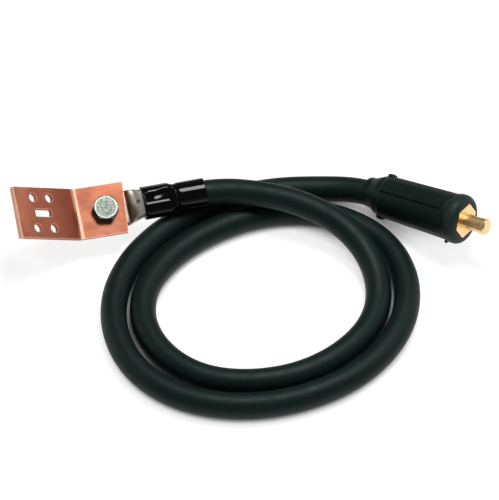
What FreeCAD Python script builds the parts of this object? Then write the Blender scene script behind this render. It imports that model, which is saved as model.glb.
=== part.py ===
import FreeCAD, Part
import math
import os

# Short heavy-duty power lead: a copper terminal bracket bolted to a crimped cable lug, two loose
# turns of rubber welding cable, and a 13 mm bayonet cable plug.
# Millimetres, +Z up. The origin is on the floor, under the middle of the two end fittings.
# The bracket is at -X, the plug at +X, and the turns of cable lie towards -Y.

V = FreeCAD.Vector

# ---- cable: 95 mm2 rubber welding cable ----
CABLE_OD = 21.0
CONDUCTOR_D = 14.0
JACKET_BORE_D = 14.4
FLOOR_Z = CABLE_OD / 2 + 0.1       # height of the centreline where the cable lies on the floor
CROSSING_Z = 33.3                  # height of the centreline where it lies over other strands

# ---- lug: its frame has the bolt hole at the origin, +X to the cable, +Z out of the palm ----
LUG_HOLE = V(-117.2, 0.8, CROSSING_Z)
LUG_HEADING = 14.0                 # degrees about +Z, from +X
LUG_ROLL = 28.0                    # degrees about the axis of the lug, palm tilted to -Y

# ---- tubular cable lug, 95 mm2, for M12 ----
LUG_BARREL_D = 19.0
LUG_BORE_D = 14.4
LUG_PALM_W = 29.5
LUG_PALM_T = 5.5
LUG_HOLE_D = 13.0
LUG_TAPER_X = 17.5                 # from the hole to where the palm starts to narrow
LUG_FLAT_END = 18.6                # from the hole to the foot of the ramp
LUG_FLAT_END_W = 29.0
LUG_RAMP_X = 25.0                  # top of the ramp
LUG_RAMP_W = 25.9
LUG_RAMP_T = 12.8
LUG_NECK_X = 31.0
LUG_NECK_W = 23.0
LUG_NECK_T = 15.5
LUG_CRIMP_X = (37.0, 50.0)         # the crimped, slightly flattened stretch of the barrel
LUG_CRIMP_W = 23.0
LUG_CRIMP_T = 17.0
LUG_ROUND_X = 54.5
LUG_MOUTH_X = 57.7
LUG_BORE_DEPTH = 20.5
PEEP_HOLE_D = 3.5
PEEP_HOLE_X = 27.2
PEEP_HOLE_Y = 0.8

# ---- heat-shrink sleeve over the barrel and the end of the jacket ----
SHRINK_X = 31.0
SHRINK_L = 52.2
SHRINK_WALL = 2.2                  # over the barrel
SHRINK_JACKET_WALL = 0.9           # over the jacket
SHRINK_GAP = 0.05
SHRINK_JACKET_GAP = 0.35

# ---- copper terminal bracket ----
BRACKET_W = 43.0
BRACKET_T = 4.0
BRACKET_BEND = 33.8                # degrees
BRACKET_FOLD = 23.0                # from the bolt hole
BRACKET_END = 16.6                 # from the bolt hole to the middle of the end over the lug
BRACKET_END_SKEW = 3.6             # degrees, that end is sheared out of square
BRACKET_TURN = -1.3                # degrees about the bolt, as it was bolted down
BRACKET_LONG = 61.5                # from the fold to the far end
BEND_R = 2.5                       # inside the fold
SCREW_HOLE_D = 7.5
SCREW_HOLE_AT = (26.2, 42.8)       # from the fold
SCREW_HOLE_PITCH = 25.6            # across the bracket
SLOT_L = 16.5
SLOT_W = 6.5
SLOT_CORNER_R = 0.8
BRACKET_HOLE_D = 13.0

# ---- M12 x 35 bolt, nut and washers ----
THREAD_D = 12.0
THREAD_PITCH = 1.75
THREAD_DEPTH = 0.95
THREAD_TURNS = 18
BOLT_L = 35.0
BOLT_TURN = -10.0                  # degrees, from a corner of the head towards the cable
HEX_AF = 19.0
HEAD_H = 7.5
NUT_H = 10.0
NUT_CLEARANCE = 0.05               # radial, on the thread
WASHER_D = 24.0
WASHER_HOLE_D = 13.0
WASHER_T = 2.5
SPRING_D = 21.1
SPRING_HOLE_D = 12.4
SPRING_T = 2.5
SPRING_SPLIT = 2.0
SPRING_SPLIT_ANGLE = 35.0

# ---- plug: its frame has the rear of the boot at the origin and +X out along the pin ----
PLUG_REAR = V(98.3, 37.1, 17.2)
PLUG_HEADING = -35.0
PLUG_RISE = 12.7                   # degrees, nose up
PLUG_ROLL = 24.0                   # puts a corner of the hexagon at +Z of the plug's frame

# ---- brass contact of the plug ----
CONTACT_X = 32.0                   # rear end of the contact
CONTACT_D = 26.0
SOCKET_D = 15.9
SOCKET_DEPTH = 41.0
FLANGE_X = 79.0
FLANGE_AF = 25.0
FLANGE_ROUND_D = 28.2              # turned corners of the hexagon
PIN_D = 13.0
PIN_SHANK_D = 12.5                 # behind the tip, where the key stands
PIN_L = 20.5
PIN_CHAMFER = 1.2
KEY_W = 4.8
KEY_L = 14.0
KEY_H = 1.8
KEY_ANGLE = 30.0                   # from a corner of the hexagon, towards -Y
FERRULE_D = 15.8
FERRULE_BORE_D = 14.2
FERRULE_L = 39.0
CLAMP_SCREW_D = 8.0
CLAMP_SCREW_L = 4.3
CLAMP_SCREW_SOCKET_AF = 4.0
CLAMP_SCREW_SOCKET_DEPTH = 2.5
CLAMP_SCREW_X = (41.0, 55.0)
CONDUCTOR_IN_PLUG = 39.5
CONDUCTOR_IN_LUG = 19.5

# ---- rubber boot of the plug ----
BOOT_L = 96.0
BOOT_LIP_R = 12.1
BOOT_SLEEVE_R = 12.5
BOOT_SLEEVE_X = 5.5
BOOT_FLARE_R = 16.3
BOOT_FLARE_X = 14.0
BOOT_STEP_R = 16.9
BOOT_STEP_X = 18.8
BOOT_SHOULDER_R = 17.6
BOOT_SHOULDER_X = 19.6
BOOT_WAIST_R = 19.4
BOOT_WAIST_X = 83.0
BOOT_NECK_R = 18.9
BOOT_NECK_X = 84.2
BOOT_COLLAR_R = 20.5
BOOT_COLLAR_X = 86.5
BOOT_NOSE_R = 6.0
BOOT_MOUTH_D = 22.6
BOOT_MOUTH_DEPTH = 14.0
BOOT_CABLE_D = 21.6
BOOT_GAP = 0.1
PANELS = 6
PANEL_TURN = 11.0                  # of the first groove, from +Z towards -Y
PANEL_END_X = 79.5
PANEL_GROOVE_W = 1.2
PANEL_GROOVE_DEPTH = 1.1
NUB_D = 8.0
NUB_TOP_R = 19.3
NUB_X = 18.0
NUB_ANGLES = (-70.0, 110.0)        # from +Z towards -Y
FRONT_NUB_D = 3.0
FRONT_NUB_TOP_R = 21.9
FRONT_NUB_X = 83.8

# ---- route: the corners of the centreline of the cable, from the lug to the plug ----
# The runs between corners are straight, and each corner is rounded by a tangent arc.
# The first run lies on the axis of the lug and the last run on the axis of the plug.
ARC_SHARE = 0.45                   # of the shorter run at a corner
FIRST_RUN = 33.0
LAST_CORNER_X = -6.0               # in the frame of the plug
ROUTE = [
    (6, 20, CROSSING_Z), (42, 10.5, 31.8), (75, -7, 26.5), (98, -36, 18), (105.6, -71, 11),
    (97, -106.5, FLOOR_Z), (72.5, -137, FLOOR_Z), (39, -158, FLOOR_Z), (-1, -166, FLOOR_Z),
    (-39, -160, FLOOR_Z), (-69.2, -136.5, FLOOR_Z), (-86, -102, FLOOR_Z), (-84.3, -63, FLOOR_Z),
    (-63, -28, FLOOR_Z), (-33, -2, FLOOR_Z), (3, 16, FLOOR_Z), (42, 21.5, FLOOR_Z),
    (80, 12, FLOOR_Z), (111, -13, FLOOR_Z), (127, -50, FLOOR_Z), (126.2, -91, FLOOR_Z),
    (110.6, -128, FLOOR_Z), (84, -158, FLOOR_Z), (50, -178, FLOOR_Z), (12, -189, FLOOR_Z),
    (-28, -188.5, FLOOR_Z), (-65, -175, FLOOR_Z), (-93, -148, FLOOR_Z), (-108, -111, FLOOR_Z),
    (-109, -71, FLOOR_Z), (-96, -34, FLOOR_Z), (-73, -3, FLOOR_Z), (-46, 19, FLOOR_Z),
    (-15, 35, FLOOR_Z), (19, 45, FLOOR_Z), (55, 46.5, 10.9),
]

X_AXIS = V(1, 0, 0)
Y_AXIS = V(0, 1, 0)
Z_AXIS = V(0, 0, 1)
ORIGIN = V(0, 0, 0)
EPS = 0.5                          # how far a cutter runs past the face it cuts


def frame(at, heading, rise, roll):
    """Placement whose +X has the heading and rise given, and whose +Z is tilted by the roll."""
    return FreeCAD.Placement(at, FreeCAD.Rotation(heading, -rise, roll))


LUG_FRAME = frame(LUG_HOLE, LUG_HEADING, 0.0, LUG_ROLL)
PLUG_FRAME = frame(PLUG_REAR, PLUG_HEADING, PLUG_RISE, PLUG_ROLL)


def placed(shape, placement):
    """The shape, moved from a fitting's own frame to the part's frame."""
    moved = shape.copy()
    moved.Placement = placement.multiply(moved.Placement)
    return moved


def rod(diameter, start, end, direction=X_AXIS):
    """Cylinder along a direction through the origin, from start to end."""
    base = direction * start
    return Part.makeCylinder(diameter / 2, end - start, base, direction)


def turned(outline):
    """Solid of revolution about +X of an outline of (x, radius) points."""
    points = [V(x, 0, r) for x, r in outline]
    face = Part.Face(Part.makePolygon(points + points[:1]))
    return face.revolve(ORIGIN, X_AXIS, 360)


def hexagon(across_flats, start, end, direction=X_AXIS, corner=Z_AXIS):
    """Hexagonal prism along a direction, with one corner towards the corner direction."""
    radius = across_flats / math.sqrt(3)
    side = direction.cross(corner)
    points = []
    for i in range(6):
        angle = math.radians(60 * i)
        points.append(direction * start + corner * (radius * math.cos(angle))
                      + side * (radius * math.sin(angle)))
    face = Part.Face(Part.makePolygon(points + points[:1]))
    return face.extrude(direction * (end - start))


def rounded_section(x, width, height, radius, middle_z=0.0):
    """Rounded rectangle across X, as a wire of four lines and four arcs."""
    y = width / 2 - radius
    z = height / 2 - radius
    edges = []
    for i, (cy, cz) in enumerate([(y, z), (-y, z), (-y, -z), (y, -z)]):
        centre = V(x, cy, cz + middle_z)
        ends = []
        for step in (0.0, 0.5, 1.0):
            angle = math.radians(90 * (i + step))
            ends.append(centre + V(0, math.cos(angle), math.sin(angle)) * radius)
        edges.append(Part.Arc(*ends).toShape())
    wires = []
    for arc, following in zip(edges, edges[1:] + edges[:1]):
        wires.append(arc)
        wires.append(Part.LineSegment(arc.Vertexes[-1].Point, following.Vertexes[0].Point).toShape())
    return Part.Wire(wires)


def lofted(sections):
    """Solid through the sections, with straight sides between each two."""
    return Part.makeLoft([rounded_section(*s) for s in sections], True, True)


# ---------------------------------------------------------------- cable

def cable_corners():
    """The whole route, with the runs that lie on the axes of the lug and of the plug."""
    start = LUG_FRAME.multVec(V(LUG_MOUTH_X, 0, 0))
    second = LUG_FRAME.multVec(V(LUG_MOUTH_X + FIRST_RUN, 0, 0))
    last_corner = PLUG_FRAME.multVec(V(LAST_CORNER_X, 0, 0))
    end = PLUG_FRAME.multVec(V(CONTACT_X, 0, 0))
    return [start, second] + [V(*p) for p in ROUTE] + [last_corner, end]


def rounded_path(corners):
    """Wire of straight runs joined by tangent arcs, and the list of the arcs' radii."""
    edges = []
    radii = []
    at = corners[0]
    for before, corner, after in zip(corners, corners[1:], corners[2:]):
        arriving = (corner - before).normalize()
        leaving = (after - corner).normalize()
        turn = math.acos(arriving.dot(leaving))
        reach = ARC_SHARE * min(corner.distanceToPoint(before), corner.distanceToPoint(after))
        radius = reach / math.tan(turn / 2)
        arc_start = corner - arriving * reach
        arc_end = corner + leaving * reach
        inward = (leaving - arriving).normalize()
        middle = corner + inward * (math.hypot(radius, reach) - radius)
        edges.append(Part.LineSegment(at, arc_start).toShape())
        edges.append(Part.Arc(arc_start, middle, arc_end).toShape())
        radii.append(radius)
        at = arc_end
    edges.append(Part.LineSegment(at, corners[-1]).toShape())
    return Part.Wire(edges), radii


def tube_along(path, diameter, start, direction):
    """Round solid of one diameter along a path."""
    circle = Part.Wire(Part.Circle(start, direction, diameter / 2).toShape())
    return path.makePipe(Part.Face(circle))


def make_cable():
    corners = cable_corners()
    path, radii = rounded_path(corners)
    first_direction = (corners[1] - corners[0]).normalize()
    outside = tube_along(path, CABLE_OD, corners[0], first_direction)
    bore = tube_along(path, JACKET_BORE_D, corners[0], first_direction)
    jacket = outside.cut(bore)
    core = tube_along(path, CONDUCTOR_D, corners[0], first_direction)
    in_lug = placed(rod(CONDUCTOR_D, LUG_MOUTH_X - CONDUCTOR_IN_LUG, LUG_MOUTH_X), LUG_FRAME)
    in_plug = placed(rod(CONDUCTOR_D, CONTACT_X, CONTACT_X + CONDUCTOR_IN_PLUG), PLUG_FRAME)
    conductor = core.fuse([in_lug, in_plug]).removeSplitter()
    swept = math.pi * CABLE_OD ** 2 / 4 * path.Length
    print("cable length %.1f mm" % path.Length)
    print("tube volume over section times length %.5f" % (outside.Volume / swept))
    print("arc radii in mm:", " ".join("%.0f" % r for r in radii))
    print("smallest arc radius %.2f diameters" % (min(radii) / CABLE_OD))
    return jacket, conductor


# ---------------------------------------------------------------- lug end

def barrel_sections(growth):
    """Sections of the lug from the flat palm to the mouth, each made larger all round."""
    bottom = -LUG_BARREL_D / 2

    def section(x, width, height, radius):
        middle = bottom + height / 2
        return (x, width + 2 * growth, height + 2 * growth, radius + growth, middle)

    round_radius = LUG_BARREL_D / 2 - 0.05
    return [
        section(LUG_TAPER_X, LUG_PALM_W, LUG_PALM_T, 1.4),
        section(LUG_FLAT_END, LUG_FLAT_END_W, LUG_PALM_T, 1.4),
        section(LUG_RAMP_X, LUG_RAMP_W, LUG_RAMP_T, 4.0),
        section(LUG_NECK_X, LUG_NECK_W, LUG_NECK_T, 6.0),
        section(LUG_CRIMP_X[0], LUG_CRIMP_W, LUG_CRIMP_T, 8.0),
        section(LUG_CRIMP_X[1], LUG_CRIMP_W, LUG_CRIMP_T, 8.0),
        section(LUG_ROUND_X, LUG_BARREL_D, LUG_BARREL_D, round_radius),
        section(LUG_MOUTH_X, LUG_BARREL_D, LUG_BARREL_D, round_radius),
    ]


def make_lug():
    bottom = -LUG_BARREL_D / 2
    palm = Part.makeBox(LUG_TAPER_X, LUG_PALM_W, LUG_PALM_T, V(0, -LUG_PALM_W / 2, bottom))
    tip = Part.makeCylinder(LUG_PALM_W / 2, LUG_PALM_T, V(0, 0, bottom))
    body = palm.fuse([tip, lofted(barrel_sections(0.0))]).removeSplitter()
    bolt_hole = rod(LUG_HOLE_D, bottom - EPS, bottom + LUG_PALM_T + EPS, Z_AXIS)
    bore = rod(LUG_BORE_D, LUG_MOUTH_X - LUG_BORE_DEPTH, LUG_MOUTH_X + EPS)
    channel = rod(PEEP_HOLE_D, PEEP_HOLE_X, LUG_MOUTH_X - LUG_BORE_DEPTH + EPS)
    peep_hole = Part.makeCylinder(PEEP_HOLE_D / 2, LUG_BARREL_D, V(PEEP_HOLE_X, PEEP_HOLE_Y, 0))
    return body.cut([bolt_hole, bore, channel, peep_hole])


def make_shrink():
    """Sleeve shrunk over the crimped barrel, the step at its mouth and the jacket."""
    jacket_r = CABLE_OD / 2 + SHRINK_JACKET_GAP
    outer_r = jacket_r + SHRINK_JACKET_WALL
    end = SHRINK_X + SHRINK_L
    step = LUG_MOUTH_X + 1.5
    barrel = barrel_sections(SHRINK_WALL + SHRINK_GAP)[3:6]
    over_barrel = [(max(s[0], SHRINK_X),) + tuple(s[1:]) for s in barrel]
    mouth = (LUG_MOUTH_X - 2.5, 2 * outer_r - 0.8, 2 * outer_r - 0.8, outer_r - 0.5, 0.0)
    jacket_start = (step, 2 * outer_r, 2 * outer_r, outer_r - 0.05, 0.0)
    jacket_end = (end, 2 * outer_r, 2 * outer_r, outer_r - 0.05, 0.0)
    outside = lofted(over_barrel + [mouth, jacket_start, jacket_end])
    inside = lofted(barrel_sections(SHRINK_GAP))
    over_jacket = rod(2 * jacket_r, LUG_MOUTH_X, end + EPS)
    return outside.cut([inside, over_jacket])


def long_leg_frame():
    """Frame of the bracket's long leg: the fold at the origin, +X along the leg, +Z out of it."""
    rotation = FreeCAD.Rotation(Y_AXIS, BRACKET_BEND).multiply(FreeCAD.Rotation(Z_AXIS, 180))
    return FreeCAD.Placement(V(-BRACKET_FOLD, 0, 0), rotation)


def make_bracket():
    """Bent copper bar. Its face over the lug lies at Z 0 of the lug's frame."""
    half = math.radians(BRACKET_BEND / 2)
    bend = math.radians(BRACKET_BEND)
    along = V(-math.cos(bend), 0, math.sin(bend))
    out = V(math.sin(bend), 0, math.cos(bend))
    fold = V(-BRACKET_FOLD, 0, 0)
    fold_under = fold + V(-BRACKET_T * math.tan(half), 0, -BRACKET_T)
    far = fold + along * BRACKET_LONG
    blank_end = BRACKET_END + BRACKET_W / 2
    outline = [V(blank_end, 0, 0), fold, far, far - out * BRACKET_T, fold_under,
               V(blank_end, 0, -BRACKET_T)]
    side = V(0, BRACKET_W / 2, 0)
    face = Part.Face(Part.makePolygon([p - side for p in outline + outline[:1]]))
    bar = face.extrude(side * 2)
    for corner, radius in ((fold, BEND_R), (fold_under, BEND_R + BRACKET_T)):
        folds = [e for e in bar.Edges if e.BoundBox.Center.distanceToPoint(corner) < EPS]
        bar = bar.makeFillet(radius, folds)
    waste = Part.makeBox(BRACKET_W, 2 * BRACKET_W, 3 * BRACKET_T, V(0, -BRACKET_W, -2 * BRACKET_T))
    waste.rotate(ORIGIN, Z_AXIS, -BRACKET_END_SKEW)
    waste.translate(V(BRACKET_END, 0, 0))
    cutters = [rod(BRACKET_HOLE_D, -BRACKET_T - EPS, EPS, Z_AXIS), waste]
    leg = long_leg_frame()
    for x in SCREW_HOLE_AT:
        for y in (-SCREW_HOLE_PITCH / 2, SCREW_HOLE_PITCH / 2):
            base = V(x, y, -BRACKET_T - EPS)
            hole = Part.makeCylinder(SCREW_HOLE_D / 2, BRACKET_T + 2 * EPS, base)
            cutters.append(placed(hole, leg))
    slot_x = sum(SCREW_HOLE_AT) / 2 - SLOT_L / 2
    slot = Part.makeBox(SLOT_L, SLOT_W, BRACKET_T + 2 * EPS, V(slot_x, -SLOT_W / 2, -BRACKET_T - EPS))
    upright = [e for e in slot.Edges if abs(e.tangentAt(e.FirstParameter).z) > 0.99]
    cutters.append(placed(slot.makeFillet(SLOT_CORNER_R, upright), leg))
    bracket = bar.cut(cutters)
    bracket.rotate(ORIGIN, Z_AXIS, BRACKET_TURN)
    return bracket


# ---------------------------------------------------------------- bolt set, along -Z of the lug

def chamfered_hex(start, end, both_ends):
    """Hexagon along Z with the turned chamfers of a bolt head or nut."""
    prism = hexagon(HEX_AF, start, end, Z_AXIS, X_AXIS)
    corner_r = HEX_AF / math.sqrt(3)
    flat_r = HEX_AF / 2 * 0.97
    drop = (corner_r - flat_r) * math.tan(math.radians(30))
    low = flat_r if both_ends else corner_r
    low_drop = drop if both_ends else 0.0
    outline = [(start, 0), (start, low), (start + low_drop, corner_r), (end - drop, corner_r),
               (end, flat_r), (end, 0)]
    points = [V(r, 0, z) for z, r in outline]
    distinct = [p for i, p in enumerate(points) if i == 0 or p.distanceToPoint(points[i - 1]) > 1e-6]
    face = Part.Face(Part.makePolygon(distinct + distinct[:1]))
    return prism.common(face.revolve(ORIGIN, Z_AXIS, 360))


def make_bolt():
    """Hexagon bolt with its head on the bracket. The thread is a row of rings at its pitch."""
    radius = THREAD_D / 2
    root = radius - THREAD_DEPTH
    outline = [(0, 0), (0, radius)]
    start = -BOLT_L + THREAD_PITCH * THREAD_TURNS + THREAD_DEPTH
    for turn in range(THREAD_TURNS):
        z = start - THREAD_PITCH * turn
        outline += [(z, radius), (z - THREAD_PITCH * 0.45, root), (z - THREAD_PITCH * 0.55, root),
                    (z - THREAD_PITCH * 0.92, radius)]
    outline += [(-BOLT_L + THREAD_DEPTH, radius), (-BOLT_L, root), (-BOLT_L, 0)]
    points = [V(r, 0, z) for z, r in outline]
    shank = Part.Face(Part.makePolygon(points + points[:1])).revolve(ORIGIN, Z_AXIS, 360)
    bolt = chamfered_hex(0.0, HEAD_H, False).fuse(shank)
    bolt.rotate(ORIGIN, Z_AXIS, BOLT_TURN)
    return bolt


def ring(outer, inner, top, thickness):
    """Flat ring along Z with its upper face at the height given."""
    blank = rod(outer, top - thickness, top, Z_AXIS)
    return blank.cut(rod(inner, top - thickness - EPS, top + EPS, Z_AXIS))


def make_spring_washer(top):
    """Split ring, closed flat, with a slanting cut."""
    body = ring(SPRING_D, SPRING_HOLE_D, top, SPRING_T)
    slit = Part.makeBox(SPRING_D, SPRING_SPLIT, 3 * SPRING_T, V(0, -SPRING_SPLIT / 2, -1.5 * SPRING_T))
    slit.rotate(ORIGIN, X_AXIS, 25)
    slit.translate(V(0, 0, top - SPRING_T / 2))
    slit.rotate(ORIGIN, Z_AXIS, SPRING_SPLIT_ANGLE)
    return body.cut(slit)


def make_nut(top):
    bore_d = THREAD_D + 2 * NUT_CLEARANCE
    body = chamfered_hex(top - NUT_H, top, True)
    cutters = [rod(bore_d, top - NUT_H - EPS, top + EPS, Z_AXIS)]
    for z, direction in ((top, -Z_AXIS), (top - NUT_H, Z_AXIS)):
        countersink = Part.makeCone(bore_d / 2 + 0.9, bore_d / 2, 0.9, V(0, 0, z), direction)
        cutters.append(countersink)
    return body.cut(cutters)


# ---------------------------------------------------------------- plug

def around(shape, angle):
    """The shape turned about the plug's axis, from +Z towards -Y."""
    turned_shape = shape.copy()
    turned_shape.rotate(ORIGIN, X_AXIS, angle)
    return turned_shape


def make_contact():
    """Brass contact: socket for the conductor, hexagonal flange, and pin with its key."""
    pin_end = BOOT_L + PIN_L
    pin_r = PIN_D / 2
    socket_body = rod(CONTACT_D, CONTACT_X, FLANGE_X)
    flange = hexagon(FLANGE_AF, FLANGE_X, BOOT_L).common(rod(FLANGE_ROUND_D, FLANGE_X, BOOT_L))
    tip = BOOT_L + KEY_L
    shank_r = PIN_SHANK_D / 2
    pin = turned([(BOOT_L, 0), (BOOT_L, shank_r), (tip, shank_r), (tip, pin_r),
                  (pin_end - PIN_CHAMFER, pin_r), (pin_end, pin_r - PIN_CHAMFER), (pin_end, 0)])
    key_top = pin_r + KEY_H
    key = Part.makeBox(KEY_L, KEY_W, key_top, V(BOOT_L, -KEY_W / 2, 0))
    rim = [e for e in key.Edges if e.BoundBox.ZMin > key_top - EPS and e.BoundBox.XMax > tip - EPS]
    key = around(key.makeFillet(0.5, rim), KEY_ANGLE)
    socket = rod(SOCKET_D, CONTACT_X - EPS, CONTACT_X + SOCKET_DEPTH)
    cutters = [socket]
    for x in CLAMP_SCREW_X:
        hole = Part.makeCylinder(CLAMP_SCREW_D / 2, CONTACT_D, V(x, 0, 0), -Z_AXIS)
        cutters.append(around(hole, KEY_ANGLE))
    return socket_body.fuse([flange, pin, key]).removeSplitter().cut(cutters)


def make_ferrule():
    start = CONTACT_X + 1.0
    tube = rod(FERRULE_D, start, start + FERRULE_L)
    return tube.cut(rod(FERRULE_BORE_D, start - EPS, start + FERRULE_L + EPS))


def make_clamp_screw(x):
    """Socket set screw, flush with the contact and pressing on the ferrule."""
    inner = SOCKET_D / 2
    body = Part.makeCylinder(CLAMP_SCREW_D / 2 - NUT_CLEARANCE, CLAMP_SCREW_L, V(x, 0, -inner), -Z_AXIS)
    bottom = inner + CLAMP_SCREW_L
    recess = hexagon(CLAMP_SCREW_SOCKET_AF, bottom - CLAMP_SCREW_SOCKET_DEPTH, bottom + EPS,
                     -Z_AXIS, X_AXIS)
    recess.translate(V(x, 0, 0))
    body = body.cut(recess)
    saddle = rod(SOCKET_D, x - CLAMP_SCREW_D, x + CLAMP_SCREW_D)
    return around(body.cut(saddle), KEY_ANGLE)


def boot_outside():
    """Turned outside of the boot: lip, sleeve, shoulder, tapered grip, neck and round collar."""
    nose_start = BOOT_L - BOOT_NOSE_R
    nose_r = BOOT_COLLAR_R - BOOT_NOSE_R
    outline = [(0, 0), (0, BOOT_LIP_R - 0.6), (0.6, BOOT_LIP_R), (BOOT_SLEEVE_X, BOOT_SLEEVE_R),
               (BOOT_FLARE_X, BOOT_FLARE_R), (BOOT_STEP_X, BOOT_STEP_R),
               (BOOT_SHOULDER_X, BOOT_SHOULDER_R), (BOOT_WAIST_X, BOOT_WAIST_R), (BOOT_NECK_X, BOOT_NECK_R),
               (BOOT_COLLAR_X, BOOT_COLLAR_R), (nose_start, BOOT_COLLAR_R)]
    points = [V(x, 0, r) for x, r in outline]
    edges = [Part.LineSegment(a, b).toShape() for a, b in zip(points, points[1:])]
    bulge = BOOT_NOSE_R * math.sqrt(0.5)
    nose_end = V(BOOT_L, 0, nose_r)
    edges.append(Part.Arc(points[-1], V(nose_start + bulge, 0, nose_r + bulge), nose_end).toShape())
    edges.append(Part.LineSegment(nose_end, V(BOOT_L, 0, 0)).toShape())
    edges.append(Part.LineSegment(V(BOOT_L, 0, 0), points[0]).toShape())
    return Part.Face(Part.Wire(edges)).revolve(ORIGIN, X_AXIS, 360)


def boot_nub(x, diameter, top_r, angle):
    """Round moulded nub on the outside of the boot, with a bevelled top."""
    base = CONTACT_D / 2 + 1.0
    nub = Part.makeCylinder(diameter / 2, top_r - base, V(x, 0, base))
    rim = [e for e in nub.Edges if e.BoundBox.ZMin > top_r - EPS]
    return around(nub.makeChamfer(0.8, rim), angle)


def make_boot():
    body = boot_outside()
    nubs = [boot_nub(NUB_X, NUB_D, NUB_TOP_R, angle) for angle in NUB_ANGLES]
    nubs.append(boot_nub(FRONT_NUB_X, FRONT_NUB_D, FRONT_NUB_TOP_R, NUB_ANGLES[1]))
    body = body.fuse(nubs)
    cutters = [
        rod(BOOT_MOUTH_D, -EPS, BOOT_MOUTH_DEPTH),
        rod(BOOT_CABLE_D, BOOT_MOUTH_DEPTH - EPS, CONTACT_X),
        rod(CONTACT_D + 2 * BOOT_GAP, CONTACT_X - BOOT_GAP, FLANGE_X),
        hexagon(FLANGE_AF + 2 * BOOT_GAP, FLANGE_X - EPS, BOOT_L + EPS).common(
            rod(FLANGE_ROUND_D + 2 * BOOT_GAP, FLANGE_X - EPS, BOOT_L + EPS)),
    ]
    groove_outline = [V(BOOT_SHOULDER_X, 0, BOOT_SHOULDER_R - PANEL_GROOVE_DEPTH),
                      V(PANEL_END_X, 0, BOOT_WAIST_R - PANEL_GROOVE_DEPTH),
                      V(PANEL_END_X, 0, BOOT_WAIST_R + 1), V(BOOT_SHOULDER_X, 0, BOOT_SHOULDER_R + 1)]
    half_width = V(0, PANEL_GROOVE_W / 2, 0)
    face = Part.Face(Part.makePolygon([p - half_width for p in groove_outline + groove_outline[:1]]))
    groove = face.extrude(half_width * 2)
    for i in range(PANELS):
        cutters.append(around(groove, PANEL_TURN + 360 / PANELS * i))
    return body.cut(cutters)


# ---------------------------------------------------------------- export

def main():
    os.makedirs("parts", exist_ok=True)
    jacket, conductor = make_cable()
    palm_bottom = -LUG_BARREL_D / 2
    in_lug_frame = {
        "copper_bracket": make_bracket(),
        "terminal_bolt": make_bolt(),
        "plain_washer": ring(WASHER_D, WASHER_HOLE_D, palm_bottom, WASHER_T),
        "spring_washer": make_spring_washer(palm_bottom - WASHER_T),
        "terminal_nut": make_nut(palm_bottom - WASHER_T - SPRING_T),
        "cable_lug": make_lug(),
        "heat_shrink_sleeve": make_shrink(),
    }
    in_plug_frame = {
        "plug_contact": make_contact(),
        "plug_ferrule": make_ferrule(),
        "plug_clamp_screw_rear": make_clamp_screw(CLAMP_SCREW_X[0]),
        "plug_clamp_screw_front": make_clamp_screw(CLAMP_SCREW_X[1]),
        "plug_boot": make_boot(),
    }
    nodes = {"cable_jacket": jacket, "cable_conductor": conductor}
    nodes.update({name: placed(shape, LUG_FRAME) for name, shape in in_lug_frame.items()})
    nodes.update({name: placed(shape, PLUG_FRAME) for name, shape in in_plug_frame.items()})
    for name, shape in nodes.items():
        box = shape.BoundBox
        print("%-24s solids %d valid %s volume %9.1f  x %7.1f %7.1f  y %7.1f %7.1f  z %6.1f %6.1f" % (
            name, len(shape.Solids), shape.isValid(), shape.Volume,
            box.XMin, box.XMax, box.YMin, box.YMax, box.ZMin, box.ZMax))
        shape.exportStep("parts/%s.step" % name)


main()
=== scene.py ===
import math

import bmesh
import bpy
from mathutils import Matrix, Vector


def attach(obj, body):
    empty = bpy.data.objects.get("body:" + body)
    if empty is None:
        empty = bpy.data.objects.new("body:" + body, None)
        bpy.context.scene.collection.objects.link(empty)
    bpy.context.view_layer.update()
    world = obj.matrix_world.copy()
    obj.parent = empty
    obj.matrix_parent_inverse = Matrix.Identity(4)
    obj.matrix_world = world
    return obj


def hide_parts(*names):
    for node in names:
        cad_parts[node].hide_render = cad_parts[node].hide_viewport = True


# Welding power lead: bent copper bracket, crimped lug in a heat-shrink sleeve, two loose turns of
# rubber cable and a 13 mm bayonet plug. Metres, in the row frame.

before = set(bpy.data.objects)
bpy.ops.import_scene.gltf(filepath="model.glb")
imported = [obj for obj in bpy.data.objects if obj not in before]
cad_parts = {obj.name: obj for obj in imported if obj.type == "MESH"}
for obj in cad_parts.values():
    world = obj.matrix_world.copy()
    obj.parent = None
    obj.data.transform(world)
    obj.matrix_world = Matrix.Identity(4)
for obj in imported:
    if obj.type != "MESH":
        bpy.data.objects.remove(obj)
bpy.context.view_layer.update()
MM = 0.001

# ---------------------------------------------------------------- frames of the two end fittings

LUG_HOLE = Vector((-0.1172, 0.0008, 0.0333))
LUG_HEADING = math.radians(14)
LUG_ROLL = math.radians(28)
PLUG_REAR = Vector((0.0983, 0.0371, 0.0172))
PLUG_HEADING = math.radians(-35)
PLUG_RISE = math.radians(12.7)
PLUG_ROLL = math.radians(24)


def fitting_frame(at, heading, rise, roll):
    """Matrix whose +X has the heading and rise given and whose +Z is tilted by the roll."""
    return (Matrix.Translation(at) @ Matrix.Rotation(heading, 4, "Z")
            @ Matrix.Rotation(-rise, 4, "Y") @ Matrix.Rotation(roll, 4, "X"))


LUG = fitting_frame(LUG_HOLE, LUG_HEADING, 0.0, LUG_ROLL)
PLUG = fitting_frame(PLUG_REAR, PLUG_HEADING, PLUG_RISE, PLUG_ROLL)

# ---------------------------------------------------------------- camera

CAMERA_TARGET = Vector((0.0, -0.013, 0.0))
CAMERA_DISTANCE = 2.6
CAMERA_ELEVATION = math.radians(47)
CAMERA_LENS = 229.0

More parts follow.
